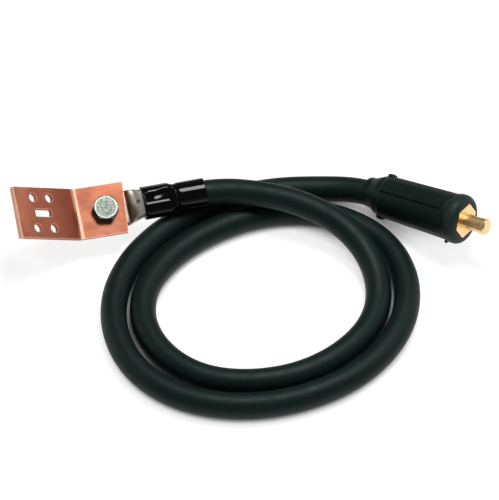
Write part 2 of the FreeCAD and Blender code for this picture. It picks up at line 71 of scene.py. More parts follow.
camera_data = bpy.data.cameras.new("camera")
camera_data.lens = CAMERA_LENS
camera_data.sensor_width = 36.0
camera_data.clip_end = 20.0
camera = bpy.data.objects.new("camera", camera_data)
camera_away = Vector((0.0, -math.cos(CAMERA_ELEVATION), math.sin(CAMERA_ELEVATION)))
camera.location = CAMERA_TARGET + camera_away * CAMERA_DISTANCE
camera.rotation_euler = (math.pi / 2 - CAMERA_ELEVATION, 0.0, 0.0)
bpy.context.scene.collection.objects.link(camera)
bpy.context.scene.camera = camera

# ---------------------------------------------------------------- mesh helpers

def smooth_step(value, low, high):
    """0 at low, 1 at high and smooth between them."""
    t = min(max((value - low) / (high - low), 0.0), 1.0)
    return t * t * (3.0 - 2.0 * t)


def between(value, table):
    """Value of the piecewise line through a table of (x, y) points."""
    for (x0, y0), (x1, y1) in zip(table, table[1:]):
        if value <= x1:
            return y0 + (y1 - y0) * min(max((value - x0) / (x1 - x0), 0.0), 1.0)
    return table[-1][1]


def softened(value, table, reach):
    """The piecewise line, averaged over a short reach to round its corners."""
    shares = (-1.0, -0.5, 0.0, 0.5, 1.0)
    return sum(between(value + reach * share, table) for share in shares) / len(shares)


def bead(value, middle, half_width):
    """1 in the middle of a rounded bead and 0 outside it."""
    return 1.0 - smooth_step(abs(value - middle), 0.0, half_width)


def stretch(value, start, end):
    """1 along a stretch and 0 beyond it. start and end are the (low, high) of the two slopes."""
    return smooth_step(value, *start) * (1.0 - smooth_step(value, *end))


def oval(x, half_width, half_height, middle, squareness, count, shift=0.0):
    """Points of an oval across the X axis. A squareness of 2 is an ellipse.

    The first point is turned on by a share, the shift, of the step between two points.
    """
    chamfer_highlight = []
    for i in range(count):
        turn = 2 * math.pi * (i + shift) / count
        c = math.cos(turn)
        s = math.sin(turn)
        y = half_width * math.copysign(abs(c) ** (2 / squareness), c)
        z = half_height * math.copysign(abs(s) ** (2 / squareness), s)
        chamfer_highlight.append((x, y, z + middle))
    return chamfer_highlight


def stations(plan, end):
    """Places along an axis. The plan lists where each spacing starts."""
    places = []
    for (start, step), (stop, _) in zip(plan, plan[1:] + [(end, None)]):
        count = max(1, round((stop - start) / step))
        places += [start + (stop - start) * i / count for i in range(count)]
    return places + [end]


def add_shell(mesh, rings, matrix, closed=False):
    """Closed skin over rings of points: round on itself if closed, or else capped at both ends."""
    rows = [[mesh.verts.new(matrix @ Vector(p)) for p in chamfer_highlight] for chamfer_highlight in rings]
    pairs = list(zip(rows, rows[1:]))
    if closed:
        pairs.append((rows[-1], rows[0]))
    else:
        mesh.faces.new(rows[0])
        mesh.faces.new(rows[-1])
    for low, high in pairs:
        for i in range(len(low)):
            j = (i + 1) % len(low)
            mesh.faces.new((low[i], low[j], high[j], high[i]))


def add_piece(name, mesh, body, node, sharp=40.0):
    """Finished object that replaces a CAD node and rides its body. Edges past sharp degrees stay sharp."""
    bmesh.ops.recalc_face_normals(mesh, faces=mesh.faces)
    data = bpy.data.meshes.new(name)
    mesh.to_mesh(data)
    mesh.free()
    data.shade_smooth()
    data.set_sharp_from_angle(angle=math.radians(sharp))
    obj = bpy.data.objects.new(name, data)
    bpy.context.scene.collection.objects.link(obj)
    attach(obj, body)
    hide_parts(node)
    return obj


# ---------------------------------------------------------------- boot of the plug, mm in its frame

BOOT_OUTSIDE = [(0.0, 11.7), (0.6, 12.1), (5.5, 12.5), (14.0, 16.3), (18.8, 16.9), (19.6, 17.6),
                (83.0, 19.4), (84.2, 18.9), (86.5, 20.5), (96.0, 20.5)]
BOOT_PLAN = [(0.0, 0.3), (1.5, 1.0), (18.0, 0.2), (20.6, 1.5), (80.0, 0.6), (82.4, 0.2), (87.4, 0.6)]
BOOT_L = 96.0
NOSE_R = 6.0
NOSE_START = BOOT_L - NOSE_R
NOSE_STEPS = 10
COLLAR_R = 20.5
BOOT_SOFTENING = 0.35
GRIP_START = (19.6, 20.1)
GRIP_END = (78.9, 79.5)
PANELS = 6
PANEL_TURN = 11.0
GROOVE_SLOPE = (0.3, 0.84)
GROOVE_DEPTH = 1.1
GROOVE_ANGLES = [0.0, 0.7, 1.3, 1.7, 2.1, 2.6, 3.4, 4.6, 6.2]
PANEL_STEPS = 8
FLANGE_ROOM_AF = 25.2
FLANGE_ROOM_R = 14.2
FLANGE_X = 79.0
CONTACT_REAR = 32.0
CONTACT_ROOM_R = 13.1
CABLE_ROOM_R = 10.8
MOUTH_R = 11.3
MOUTH_DEPTH = 14.0
FLANGE_ROOM = [(BOOT_L, 0.9), (BOOT_L - 0.3, 0.65), (BOOT_L - 3.0, 0.55), (BOOT_L - 3.2, 0.0),
               (FLANGE_X + 0.1, 0.0)]
BOOT_INSIDE = [(FLANGE_X, CONTACT_ROOM_R), (CONTACT_REAR, CONTACT_ROOM_R),
               (CONTACT_REAR - 0.2, CABLE_ROOM_R), (MOUTH_DEPTH, CABLE_ROOM_R),
               (MOUTH_DEPTH - 0.3, MOUTH_R), (0.5, MOUTH_R), (0.1, MOUTH_R + 0.2)]
NUBS = [(18.0, 4.0, 19.3, -70.0), (18.0, 4.0, 19.3, 110.0), (83.8, 1.5, 21.9, 110.0)]
NUB_FOOT_R = 14.5
NUB_DOME = 2.0
NUB_FULLNESS = 0.7
NUB_POINTS = 32
BOOT_FRAME = PLUG @ Matrix.Scale(MM, 4)


def boot_angles():
    """Angles round the boot in degrees, close together at the grooves."""
    half_panel = 180.0 / PANELS
    last = GROOVE_ANGLES[-1]
    steps = GROOVE_ANGLES + [last + (half_panel - last) * i / PANEL_STEPS for i in range(1, PANEL_STEPS)]
    one = [-a for a in reversed(steps[1:])] + steps + [half_panel]
    return [PANEL_TURN + 2 * half_panel * k + a for k in range(PANELS) for a in one]


def at_angle(x, radius, degrees):
    """Point of the plug's frame at an angle from +Z towards -Y."""
    a = math.radians(degrees)
    return (x, -radius * math.sin(a), radius * math.cos(a))


def groove_depth(x, radius, degrees):
    """How deep the groove between two panels is at a place on the boot."""
    period = 360.0 / PANELS
    off = abs((degrees - PANEL_TURN + period / 2) % period - period / 2)
    across = radius * math.radians(off)
    return GROOVE_DEPTH * stretch(x, GRIP_START, GRIP_END) * (1.0 - smooth_step(across, *GROOVE_SLOPE))


def flange_room(degrees):
    """Radius of the hexagonal room for the flange, with its turned corners."""
    off = math.radians(degrees % 60.0 - 30.0)
    return min(FLANGE_ROOM_AF / 2 / math.cos(off), FLANGE_ROOM_R)


def boot_rings():
    """Rings of the boot: along the outside, round the nose and back through the rooms inside."""
    angles = boot_angles()

    def turned(x, radius):
        return [at_angle(x, radius, a) for a in angles]

    rings = []
    for x in stations(BOOT_PLAN, NOSE_START):
        radius = softened(x, BOOT_OUTSIDE, BOOT_SOFTENING) if x > 0 else BOOT_OUTSIDE[0][1]
        rings.append([at_angle(x, radius - groove_depth(x, radius, a), a) for a in angles])
    for step in range(1, NOSE_STEPS + 1):
        turn = math.radians(90.0 * step / NOSE_STEPS)
        rings.append(turned(NOSE_START + NOSE_R * math.sin(turn),
                            COLLAR_R - NOSE_R + NOSE_R * math.cos(turn)))
    for x, growth in FLANGE_ROOM:
        rings.append([at_angle(x, flange_room(a) + growth, a) for a in angles])
    return rings + [turned(x, radius) for x, radius in BOOT_INSIDE]


def nub_rings(x, radius, top, degrees):
    """Rings of a round nub with a domed top, standing out of the boot."""
    a = math.radians(degrees)
    dome = min(NUB_DOME, radius)
    profile = [(NUB_FOOT_R, radius)]
    for rise in [math.radians(degree) for degree in range(0, 90, 10)]:
        profile.append((top - dome * (1.0 - math.sin(rise)), radius * math.cos(rise) ** NUB_FULLNESS))
    rings = []
    for height, r in profile:
        chamfer_highlight = []
        for i in range(NUB_POINTS):
            turn = 2 * math.pi * i / NUB_POINTS
            side = r * math.sin(turn)
            chamfer_highlight.append((x + r * math.cos(turn), -height * math.sin(a) - side * math.cos(a),
                         height * math.cos(a) - side * math.sin(a)))
        rings.append(chamfer_highlight)
    return rings


boot_mesh = bmesh.new()
add_shell(boot_mesh, boot_rings(), BOOT_FRAME, closed=True)
for nub in NUBS:
    add_shell(boot_mesh, nub_rings(*nub), BOOT_FRAME)
boot_piece = add_piece("moulded_boot", boot_mesh, "lead", "plug_boot")

# ---------------------------------------------------------------- cord: the rubber cable

CABLE_D = 0.021
FLOOR_Z = 0.0106
CROSSING_Z = 0.0333
LUG_MOUTH_X = 0.0577
FIRST_RUN = 0.033
CONTACT_X = CONTACT_REAR * MM
LAST_CORNER_X = -0.006
ROUTE = [
    (0.006, 0.020, CROSSING_Z), (0.042, 0.0105, 0.0318), (0.075, -0.007, 0.0265),
    (0.098, -0.036, 0.018), (0.1056, -0.071, 0.011), (0.097, -0.1065, FLOOR_Z),
    (0.0725, -0.137, FLOOR_Z), (0.039, -0.158, FLOOR_Z), (-0.001, -0.166, FLOOR_Z),
    (-0.039, -0.160, FLOOR_Z), (-0.0692, -0.1365, FLOOR_Z), (-0.086, -0.102, FLOOR_Z),
    (-0.0843, -0.063, FLOOR_Z), (-0.063, -0.028, FLOOR_Z), (-0.033, -0.002, FLOOR_Z),
    (0.003, 0.016, FLOOR_Z), (0.042, 0.0215, FLOOR_Z), (0.080, 0.012, FLOOR_Z),
    (0.111, -0.013, FLOOR_Z), (0.127, -0.050, FLOOR_Z), (0.1262, -0.091, FLOOR_Z),
    (0.1106, -0.128, FLOOR_Z), (0.084, -0.158, FLOOR_Z), (0.050, -0.178, FLOOR_Z),
    (0.012, -0.189, FLOOR_Z), (-0.028, -0.1885, FLOOR_Z), (-0.065, -0.175, FLOOR_Z),
    (-0.093, -0.148, FLOOR_Z), (-0.108, -0.111, FLOOR_Z), (-0.109, -0.071, FLOOR_Z),
    (-0.096, -0.034, FLOOR_Z), (-0.073, -0.003, FLOOR_Z), (-0.046, 0.019, FLOOR_Z),
    (-0.015, 0.035, FLOOR_Z), (0.019, 0.045, FLOOR_Z), (0.055, 0.0465, 0.0109),
]


def cable_corners():
    """The route's points, with the runs that lie on the axes of the lug and of the plug."""
    start = [LUG @ Vector((LUG_MOUTH_X + d, 0, 0)) for d in (0.0, FIRST_RUN)]
    end = [PLUG @ Vector((x, 0, 0)) for x in (LAST_CORNER_X, CONTACT_X)]
    return start + [Vector(p) for p in ROUTE] + end


def make_cable(corners):
    curve = bpy.data.curves.new("rubber_cable", "CURVE")
    curve.dimensions = "3D"
    spline = curve.splines.new("NURBS")
    spline.points.add(len(corners) - 1)
    for point, corner in zip(spline.points, corners):
        point.co = (*corner, 1.0)
        point.radius = CABLE_D / 2
    spline.order_u = 3
    spline.use_endpoint_u = True
    spline.resolution_u = 12
    curve.bevel_depth = 1.0
    curve.bevel_resolution = 12
    curve.use_fill_caps = True
    cable = bpy.data.objects.new("rubber_cable", curve)
    bpy.context.scene.collection.objects.link(cable)
    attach(cable, "lead")
    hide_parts("cable_jacket")
    return cable


corners = cable_corners()
cable = make_cable(corners)

# ---------------------------------------------------------------- shrunk sleeve, mm in the lug's frame

SLEEVE = (31.0, 83.2)
WAIST_X = 58.3
HALF_WIDTH = [(31.0, 13.9), (38.0, 13.8), (50.0, 13.6), (53.0, 13.0), (56.5, 11.4), (58.3, 10.95),
              (60.5, 11.75), (83.2, 11.75)]
HALF_HEIGHT = [(31.0, 10.4), (37.0, 10.75), (50.0, 10.75), (56.5, 10.9), (58.3, 10.95), (60.5, 11.75),
               (83.2, 11.75)]
MIDDLE = [(31.0, -1.35), (37.0, -1.0), (50.0, -1.0), (58.3, 0.0), (83.2, 0.0)]
SQUARENESS = [(31.0, 2.5), (50.0, 2.4), (56.5, 2.0), (83.2, 2.0)]
INSIDE = [(83.2, 10.9, 10.9, 0.0, 2.0), (59.0, 10.7, 10.7, 0.0, 2.0), (57.5, 9.9, 9.9, 0.0, 2.0),
          (54.0, 9.8, 9.8, 0.0, 2.0), (50.0, 11.6, 8.55, -1.0, 2.3), (37.0, 11.6, 8.55, -1.0, 2.3),
          (31.3, 11.7, 8.0, -1.75, 2.5)]
SLEEVE_FRAME = LUG @ Matrix.Scale(MM, 4)
SLEEVE_POINTS = 144
SLEEVE_PLAN = [(31.0, 0.2), (32.4, 0.4), (60.5, 1.5), (82.0, 0.3)]
SLEEVE_SOFTENING = 0.5
RIM_R = 0.7
BARREL_MIDDLE_Z = -1.0
RIDGE_HALF_W = 1.8
UPPER_RIDGE_Y = 7.1
LOWER_RIDGE_Y = -3.6
FILM_START = (31.6, 33.2)
FILM_END = (56.4, 58.8)
RIDGE_START = (53.0, 55.0)
RIDGE_END = (WAIST_X + 0.4, WAIST_X + 2.2)
RIDGE_BOW = (55.6, 2.4)
FILM_SOFTENING = 0.45
FILM = [(-13.9, -1.2), (-12.7, 3.0), (-9.8, 5.9), (-4.6, 8.5), (-2.7, 8.15), (5.8, 9.1), (8.2, 8.7),
        (10.6, 6.2), (12.7, 3.0), (13.9, -1.2)]


def dimple(x, y, at, long, below, above, turn=0.0, flat=0.0):
    """1 in the middle of an oval hollow and 0 outside it. flat is the share that is level."""
    a = math.radians(turn)
    along = (x - at[0]) * math.cos(a) + (y - at[1]) * math.sin(a)
    across = (y - at[1]) * math.cos(a) - (x - at[0]) * math.sin(a)
    wide = above if across > 0 else below
    return 1.0 - smooth_step(math.hypot(along / long, across / wide), flat, 1.0)


def draped(point):
    """A point of the sleeve, moved to the creased film that is drawn over the crimped barrel."""
    x, y, z = point
    if z < BARREL_MIDDLE_Z or x > WAIST_X + 3.0:
        return point
    to_waist = smooth_step(x, 52.0, WAIST_X)
    ridges = stretch(x, RIDGE_START, RIDGE_END)
    film = min(z, softened(y, FILM, FILM_SOFTENING))
    film -= 0.8 * dimple(x, y, (46.4, 3.9), 9.5, 4.0, 2.8, turn=20.0, flat=0.4)
    lowered = z + (film - z) * stretch(x, FILM_START, FILM_END)
    lowered -= 0.5 * dimple(x, y, (WAIST_X - 2.4, 1.5), 2.6, 4.0, 4.0)
    upper_y = UPPER_RIDGE_Y - 1.4 * to_waist
    lower_y = LOWER_RIDGE_Y + 0.8 * to_waist - 1.0 * bead(x, *RIDGE_BOW)
    lowered += 0.3 * bead(y, upper_y, RIDGE_HALF_W) * ridges
    lowered += 0.4 * bead(y, lower_y, RIDGE_HALF_W) * ridges
    return (x, y, lowered)


def sleeve_rings():
    """Rings of the sleeve: along the outside and back along the inside."""
    rings = []
    for x in stations(SLEEVE_PLAN, SLEEVE[1]):
        rim = RIM_R * (1.0 - smooth_step(min(x - SLEEVE[0], SLEEVE[1] - x), 0.0, RIM_R))
        width = softened(x, HALF_WIDTH, SLEEVE_SOFTENING) - rim
        height = softened(x, HALF_HEIGHT, SLEEVE_SOFTENING) - rim
        middle = softened(x, MIDDLE, SLEEVE_SOFTENING)
        chamfer_highlight = oval(x, width, height, middle, between(x, SQUARENESS), SLEEVE_POINTS)
        rings.append([draped(point) for point in chamfer_highlight])
    return rings + [oval(*section, SLEEVE_POINTS) for section in INSIDE]


sleeve_mesh = bmesh.new()
add_shell(sleeve_mesh, sleeve_rings(), SLEEVE_FRAME, closed=True)
sleeve_piece = add_piece("shrunk_sleeve", sleeve_mesh, "lead", "heat_shrink_sleeve",
                         sharp=60.0)

# ---------------------------------------------------------------- lug, mm in its own frame

LUG_BOTTOM = -9.5
LUG_TIP_R = 14.75
LUG_END = 57.7
LUG_WIDTH = [(17.5, 29.5), (18.6, 29.0), (25.0, 25.9), (31.0, 23.0), (50.0, 23.0), (54.5, 19.0),
             (LUG_END, 19.0)]
LUG_THICKNESS = [(18.7, 5.48), (25.0, 12.8), (31.0, 15.5), (37.0, 17.0), (50.0, 17.0), (54.5, 19.0),
                 (LUG_END, 19.0)]
LUG_BOXINESS = [(18.6, 9.0), (25.0, 4.5), (31.0, 3.2), (37.0, 2.4), (50.0, 2.3), (54.5, 2.0),
                (LUG_END, 2.0)]
LUG_TIP_ANGLES = (3, 7, 12, 18, 25, 33, 42, 52, 62, 72, 81, 89)
LUG_PLAN = [(1.0, 2.0), (16.0, 0.5), (38.0, 2.0), (50.0, 0.5)]
LUG_SOFTENING = 1.5
RAMP_FOOT_X = 18.8
LUG_HOLE_R = 6.5
LUG_BORE = (37.2, 7.2)
PEEP_R = 1.75
PEEP_AT = (27.2, 0.8)
LUG_RING_POINTS = 96


def lug_rings():
    """Rings of the lug: the round tip of the palm, then the ramp and the barrel."""
    rings = []
    tip = [-LUG_TIP_R * math.cos(math.radians(a)) for a in LUG_TIP_ANGLES]
    for x in tip + stations(LUG_PLAN, LUG_END):
        if x < 0:
            width = 2 * math.sqrt(LUG_TIP_R ** 2 - x ** 2)
        else:
            width = softened(x, LUG_WIDTH, 1.0)
        ramp_reach = LUG_SOFTENING * smooth_step(x, RAMP_FOOT_X, RAMP_FOOT_X + 4.0)
        height = softened(x, LUG_THICKNESS, ramp_reach)
        boxiness = softened(x, LUG_BOXINESS, LUG_SOFTENING)
        rings.append(oval(x, width / 2, height / 2, LUG_BOTTOM + height / 2, boxiness,
                          LUG_RING_POINTS, shift=0.5))
    return rings


def drill(x, y, z, radius, length, direction):
    """Cutter for one round hole: a rod that starts at a point of the lug's frame."""
    mesh = bmesh.new()
    turn = Vector((0, 0, 1)).rotation_difference(Vector(direction)).to_matrix().to_4x4()
    middle = Vector((x, y, z)) + Vector(direction) * (length / 2)
    bmesh.ops.create_cone(mesh, cap_ends=True, segments=64, radius1=radius, radius2=radius, depth=length,
                          matrix=SLEEVE_FRAME @ Matrix.Translation(middle) @ turn)
    data = bpy.data.meshes.new("drill")
    mesh.to_mesh(data)
    mesh.free()
    cutter = bpy.data.objects.new("drill", data)
    bpy.context.scene.collection.objects.link(cutter)
    return cutter


def drilled(mesh, cutters):
    """The mesh with the holes cut out of it."""
    data = bpy.data.meshes.new("blank")
    bmesh.ops.recalc_face_normals(mesh, faces=mesh.faces)
    mesh.to_mesh(data)
    blank = bpy.data.objects.new("blank", data)
    bpy.context.scene.collection.objects.link(blank)
    for cutter in cutters:
        cut = blank.modifiers.new("cut", "BOOLEAN")
        cut.operation = "DIFFERENCE"
        cut.solver = "EXACT"
        cut.object = cutter
    graph = bpy.context.evaluated_depsgraph_get()
    done = bpy.data.meshes.new_from_object(blank.evaluated_get(graph))
    mesh.clear()
    mesh.from_mesh(done)
    for obj in [blank] + cutters:
        bpy.data.objects.remove(obj)
    return mesh


lug_mesh = bmesh.new()
add_shell(lug_mesh, lug_rings(), SLEEVE_FRAME)
lug_mesh = drilled(lug_mesh, [
    drill(0.0, 0.0, LUG_BOTTOM - 1.0, LUG_HOLE_R, 8.0, (0, 0, 1)),
    drill(LUG_BORE[0], 0.0, 0.0, LUG_BORE[1], 30.0, (1, 0, 0)),
    drill(PEEP_AT[0], 0.0, 0.0, PEEP_R, 12.0, (1, 0, 0)),
    drill(PEEP_AT[0], PEEP_AT[1], 0.0, PEEP_R, 12.0, (0, 0, 1)),
])
lug_piece = add_piece("drawn_lug", lug_mesh, "lead", "cable_lug")

# ---------------------------------------------------------------- rounded edges of the metal parts

EDGE_WIDTHS = {"copper_bracket": 0.00035, "terminal_bolt": 0.00025, "terminal_nut": 0.00025,
               "plain_washer": 0.0002, "spring_washer": 0.0002, "plug_contact": 0.00025}
EDGE_ANGLE = math.radians(28.0)


def round_edges(node, width):
    """Bevel modifier on the sharp edges of a CAD object."""
    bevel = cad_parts[node].modifiers.new("rounded_edges", "BEVEL")
    bevel.width = width
    bevel.segments = 2
    bevel.limit_method = "ANGLE"
    bevel.angle_limit = EDGE_ANGLE


for node, width in EDGE_WIDTHS.items():
    round_edges(node, width)

# ---------------------------------------------------------------- material helpers

WHITE = (1.0, 1.0, 1.0, 1.0)


class Shader:
    """A node material. Each method adds one node and returns the output to use next."""

    def __init__(self, name):
        self.material = bpy.data.materials.new(name)
        self.material.use_nodes = True
        self.tree = self.material.node_tree
        self.bsdf = self.tree.nodes["Principled BSDF"]
        coordinates = self.tree.nodes.new("ShaderNodeTexCoord")
        self.place = coordinates.outputs["Object"]

    def add(self, kind, inputs, **settings):
        node = self.tree.nodes.new(kind)
        for key, value in settings.items():
            setattr(node, key, value)
        for key, value in inputs.items():
            self.feed(node.inputs[key], value)
        return node

    def feed(self, socket, value):
        if isinstance(value, bpy.types.NodeSocket):
            self.tree.links.new(value, socket)
        else:
            socket.default_value = value

    def set(self, **inputs):
        for key, value in inputs.items():
            self.feed(self.bsdf.inputs[key.replace("_", " ")], value)

    def along(self, axis, scale=1.0):
        """Distance along an axis of the row frame, times a scale."""
        scaled = tuple(c * scale for c in axis)
        return self.add("ShaderNodeVectorMath", {0: self.place, 1: scaled},
                        operation="DOT_PRODUCT").outputs["Value"]

    def stretched(self, matrix, scales):
        """Coordinates in a fitting's frame, each multiplied by its own scale."""
        axes = [matrix.to_3x3().col[i] for i in range(3)]
        parts = [self.along(axis, scale) for axis, scale in zip(axes, scales)]
        return self.add("ShaderNodeCombineXYZ", dict(enumerate(parts))).outputs["Vector"]

    def ahead(self, matrix, axis=0):
        """Distance from the origin of a fitting's frame, along its X axis or along another one."""
        direction = matrix.to_3x3().col[axis]
        return self.math("SUBTRACT", self.along(direction), matrix.translation.dot(direction))

    def from_axis(self, matrix):
        """Distance from the Z axis of a fitting's frame."""
        offsets = [self.ahead(matrix, axis) for axis in (0, 1)]
        squares = [self.math("MULTIPLY", offset, offset) for offset in offsets]
        return self.math("SQRT", self.math("ADD", *squares), 0.0)

    def noise(self, scale, detail=4.0, vector=None, roughness=0.55, distortion=0.0):
        return self.add("ShaderNodeTexNoise", {
            "Vector": self.place if vector is None else vector, "Scale": scale, "Detail": detail,
            "Roughness": roughness, "Distortion": distortion}).outputs["Fac"]

    def cells(self, scale):
        """Distance from the middle of a cell, in cells of random shape."""
        inputs = {"Vector": self.place, "Scale": scale}
        return self.add("ShaderNodeTexVoronoi", inputs).outputs["Distance"]

    def spread(self, value, low, high, to_low=0.0, to_high=1.0):
        """The value, stretched from low..high to another range and clamped."""
        return self.add("ShaderNodeMapRange", {
            "Value": value, "From Min": low, "From Max": high,
            "To Min": to_low, "To Max": to_high}).outputs["Result"]

    def math(self, operation, a, b):
        return self.add("ShaderNodeMath", {0: a, 1: b}, operation=operation).outputs["Value"]

    def mix(self, factor, a, b):
        """Colour mix. A colour is three numbers or a node's output."""
        node = self.add("ShaderNodeMix", {}, data_type="RGBA")
        self.feed(node.inputs[0], factor)
        for socket, colour in ((node.inputs[6], a), (node.inputs[7], b)):
            self.feed(socket, colour if isinstance(colour, bpy.types.NodeSocket) else (*colour, 1.0))
        return node.outputs[2]

    def bump(self, height, strength, distance, normal=None):
        inputs = {"Height": height, "Strength": strength, "Distance": distance}
        if normal is not None:
            inputs["Normal"] = normal
        return self.add("ShaderNodeBump", inputs).outputs["Normal"]

    def edges(self, radius):
        """About 1 on convex or concave edges and 0 on open faces."""
        rounded = self.add("ShaderNodeBevel", {"Radius": radius}, samples=4).outputs["Normal"]
        flat = self.add("ShaderNodeNewGeometry", {}).outputs["Normal"]
        cosine = self.add("ShaderNodeVectorMath", {0: rounded, 1: flat},
                          operation="DOT_PRODUCT").outputs["Value"]
        return self.spread(cosine, 0.995, 0.86)


def paint(material, *nodes):
    """Gives a material to CAD nodes or objects."""
    for item in nodes:
        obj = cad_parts[item] if isinstance(item, str) else item
        obj.data.materials.clear()
        obj.data.materials.append(material)


# ---------------------------------------------------------------- materials

# Where the shading changes, in metres, each as a (low, high) pair. Places on the bracket and the lug are
# along the lug's X axis from the bolt hole, and the boot's are along the plug's X axis from its rear.
FOLD_X = -0.0230
BRACKET_BEND = math.radians(33.8)
LONG_LEG = 0.0615
FAR_END_X = FOLD_X - LONG_LEG * math.cos(BRACKET_BEND)
# Painted shade on the long leg, growing towards the fold.
LEG_PAINTED_SHADE = (FOLD_X - 0.03547, FOLD_X + 0.00853)
# Where that painted shade stops, at the fold.
CORNER_SHADE_ENDS = (FOLD_X - 0.00297, FOLD_X + 0.00053)
# Painted highlight: a bright strip along the fold, between this stretch and the next.
FOLD_HIGHLIGHT_STARTS = (FOLD_X - 0.00247, FOLD_X - 0.00067)
FOLD_HIGHLIGHT_ENDS = (FOLD_X + 0.00133, FOLD_X + 0.00253)
# Painted highlight on the far end of the long leg.
FAR_END_HIGHLIGHT = (FAR_END_X + 0.00083, FAR_END_X + 0.00143)
# Painted reflection and shade: where the dark brown on the palm next to the bracket ends.
PALM_PAINTED_SHADE_ENDS = (0.0205, 0.0230)
# Painted highlight: where the lug's barrel near the sleeve turns lighter.
BARREL_HIGHLIGHT = (0.0270, 0.0300)
# Painted highlight: the radius round the bolt's axis where the head's chamfer turns lighter.
CHAMFER_HIGHLIGHT_R = (0.0080, 0.0086)
# Painted highlight: where the boot's nose turns lighter.
NOSE_HIGHLIGHT = (0.0845, 0.0895)
RUBBER_TINT = (0.84, 1.0, 0.92, 1.0)


def copper_sheet():
    s = Shader("copper_sheet")
    grain = s.noise(1.0, 3.0, s.stretched(LUG, (60, 1500, 1500)))
    clouds = s.noise(28.0, 5.0)
    tarnish = s.spread(clouds, 0.42, 0.66)
    base = s.mix(tarnish, (0.41, 0.150, 0.088), (0.30, 0.096, 0.054))
    blotches = s.spread(s.noise(62.0, 6.0, distortion=0.8), 0.50, 0.66, 0.0, 0.6)
    base = s.mix(blotches, base, (0.215, 0.062, 0.034))
    base = s.mix(s.spread(grain, 0.35, 0.75, 0.0, 0.35), base, (0.50, 0.215, 0.138))
    place = s.ahead(LUG)
    # Painted shade: the long leg is darkened towards the fold, in the concave corner facing the short leg.
    corner_shade = s.spread(s.math("ADD", place, s.math("MULTIPLY", clouds, 0.03)), *LEG_PAINTED_SHADE)
    on_leg = s.spread(place, *CORNER_SHADE_ENDS, 1.0, 0.0)
    base = s.mix(s.math("MULTIPLY", corner_shade, on_leg), base, (0.225, 0.056, 0.033))
    before_short_leg = s.spread(place, *FOLD_HIGHLIGHT_ENDS, 1.0, 0.0)
    # Painted shade: the short leg past the fold is darkened by up to a quarter.
    base = s.mix(s.spread(place, *FOLD_HIGHLIGHT_ENDS, 0.0, 0.24), base, (0.0, 0.0, 0.0))
    # Painted highlight: a bright strip along the fold.
    fold_highlight = s.math("MULTIPLY", s.spread(place, *FOLD_HIGHLIGHT_STARTS), before_short_leg)
    base = s.mix(s.math("MULTIPLY", fold_highlight, 0.7), base, (0.72, 0.36, 0.24))
    # Painted highlight on the far end of the long leg.
    base = s.mix(s.spread(place, *FAR_END_HIGHLIGHT, 0.55, 0.0), base, (0.86, 0.50, 0.36))
    # Painted highlight along the edges.
    base = s.mix(s.math("MULTIPLY", s.edges(0.0009), 0.8), base, (0.90, 0.58, 0.44))
    s.set(Base_Color=base, Metallic=1.0)
    s.set(Roughness=s.spread(s.noise(70.0, 6.0), 0.3, 0.7, 0.34, 0.44))
    s.set(Normal=s.bump(grain, 0.18, 0.00008, s.bump(clouds, 0.3, 0.0007)))
    return s.material


def zinc_steel():
    s = Shader("zinc_steel")
    patches = s.noise(520.0, 6.0, distortion=0.6)
    flakes = s.cells(1100.0)
    base = s.mix(s.spread(patches, 0.40, 0.60), (0.026, 0.034, 0.030), (0.20, 0.225, 0.200))
    base = s.mix(s.spread(flakes, 0.30, 0.55, 0.0, 0.35), base, (0.30, 0.33, 0.30))
    upward = s.add("ShaderNodeVectorMath", {
        0: s.add("ShaderNodeNewGeometry", {}).outputs["Normal"], 1: tuple(LUG.to_3x3().col[2])},
        operation="DOT_PRODUCT").outputs["Value"]
    # Painted highlight: faces turned up and beyond the chamfer radius from the bolt's axis are lighter.
    chamfer_highlight = s.math("MULTIPLY", s.spread(s.from_axis(LUG), *CHAMFER_HIGHLIGHT_R), s.spread(upward, 0.5, 0.7))
    base = s.mix(s.math("MULTIPLY", chamfer_highlight, 0.8), base, (0.46, 0.49, 0.43))
    # Painted highlight along the edges.
    base = s.mix(s.math("MULTIPLY", s.edges(0.0007), 0.8), base, (0.62, 0.66, 0.60))
    s.set(Base_Color=base, Metallic=1.0)
    s.set(Roughness=s.spread(s.noise(600.0, 4.0), 0.3, 0.7, 0.30, 0.50))
    s.set(Normal=s.bump(patches, 0.35, 0.0002))
    return s.material


def tinned_copper():
    s = Shader("tinned_copper")
    scratches = s.noise(1.0, 3.0, s.stretched(LUG, (90, 1600, 900)))
    clouds = s.noise(110.0, 5.0)
    base = s.mix(s.spread(clouds, 0.38, 0.66), (0.50, 0.46, 0.38), (0.82, 0.79, 0.71))
    ragged = s.math("ADD", s.ahead(LUG), s.math("MULTIPLY", clouds, 0.004))
    # Painted reflection and shade: the palm next to the bracket is dark brown, for the bracket's end
    # mirrored in it and the shade it casts.
    base = s.mix(s.spread(ragged, *PALM_PAINTED_SHADE_ENDS, 0.85, 0.0), base, (0.14, 0.115, 0.09))
    # Painted highlight: the barrel near the sleeve is lighter, where its top faces the light overhead.
    base = s.mix(s.spread(ragged, *BARREL_HIGHLIGHT, 0.0, 0.8), base, (0.94, 0.92, 0.86))
    # Painted highlight along the edges.
    base = s.mix(s.math("MULTIPLY", s.edges(0.0005), 0.4), base, (0.75, 0.72, 0.66))
    s.set(Base_Color=base, Metallic=1.0)
    s.set(Roughness=s.spread(scratches, 0.3, 0.7, 0.28, 0.42))
    s.set(Normal=s.bump(scratches, 0.12, 0.00006, s.bump(clouds, 0.30, 0.0005)))
    return s.material


def shrink_black():
    s = Shader("shrink_black")
    s.set(Base_Color=(0.0006, 0.0008, 0.0007, 1.0), Specular_IOR_Level=0.21)
    s.set(Roughness=s.spread(s.noise(160.0, 4.0), 0.3, 0.7, 0.07, 0.14))
    s.set(Normal=s.bump(s.noise(140.0, 3.0), 0.08, 0.0005))
    return s.material


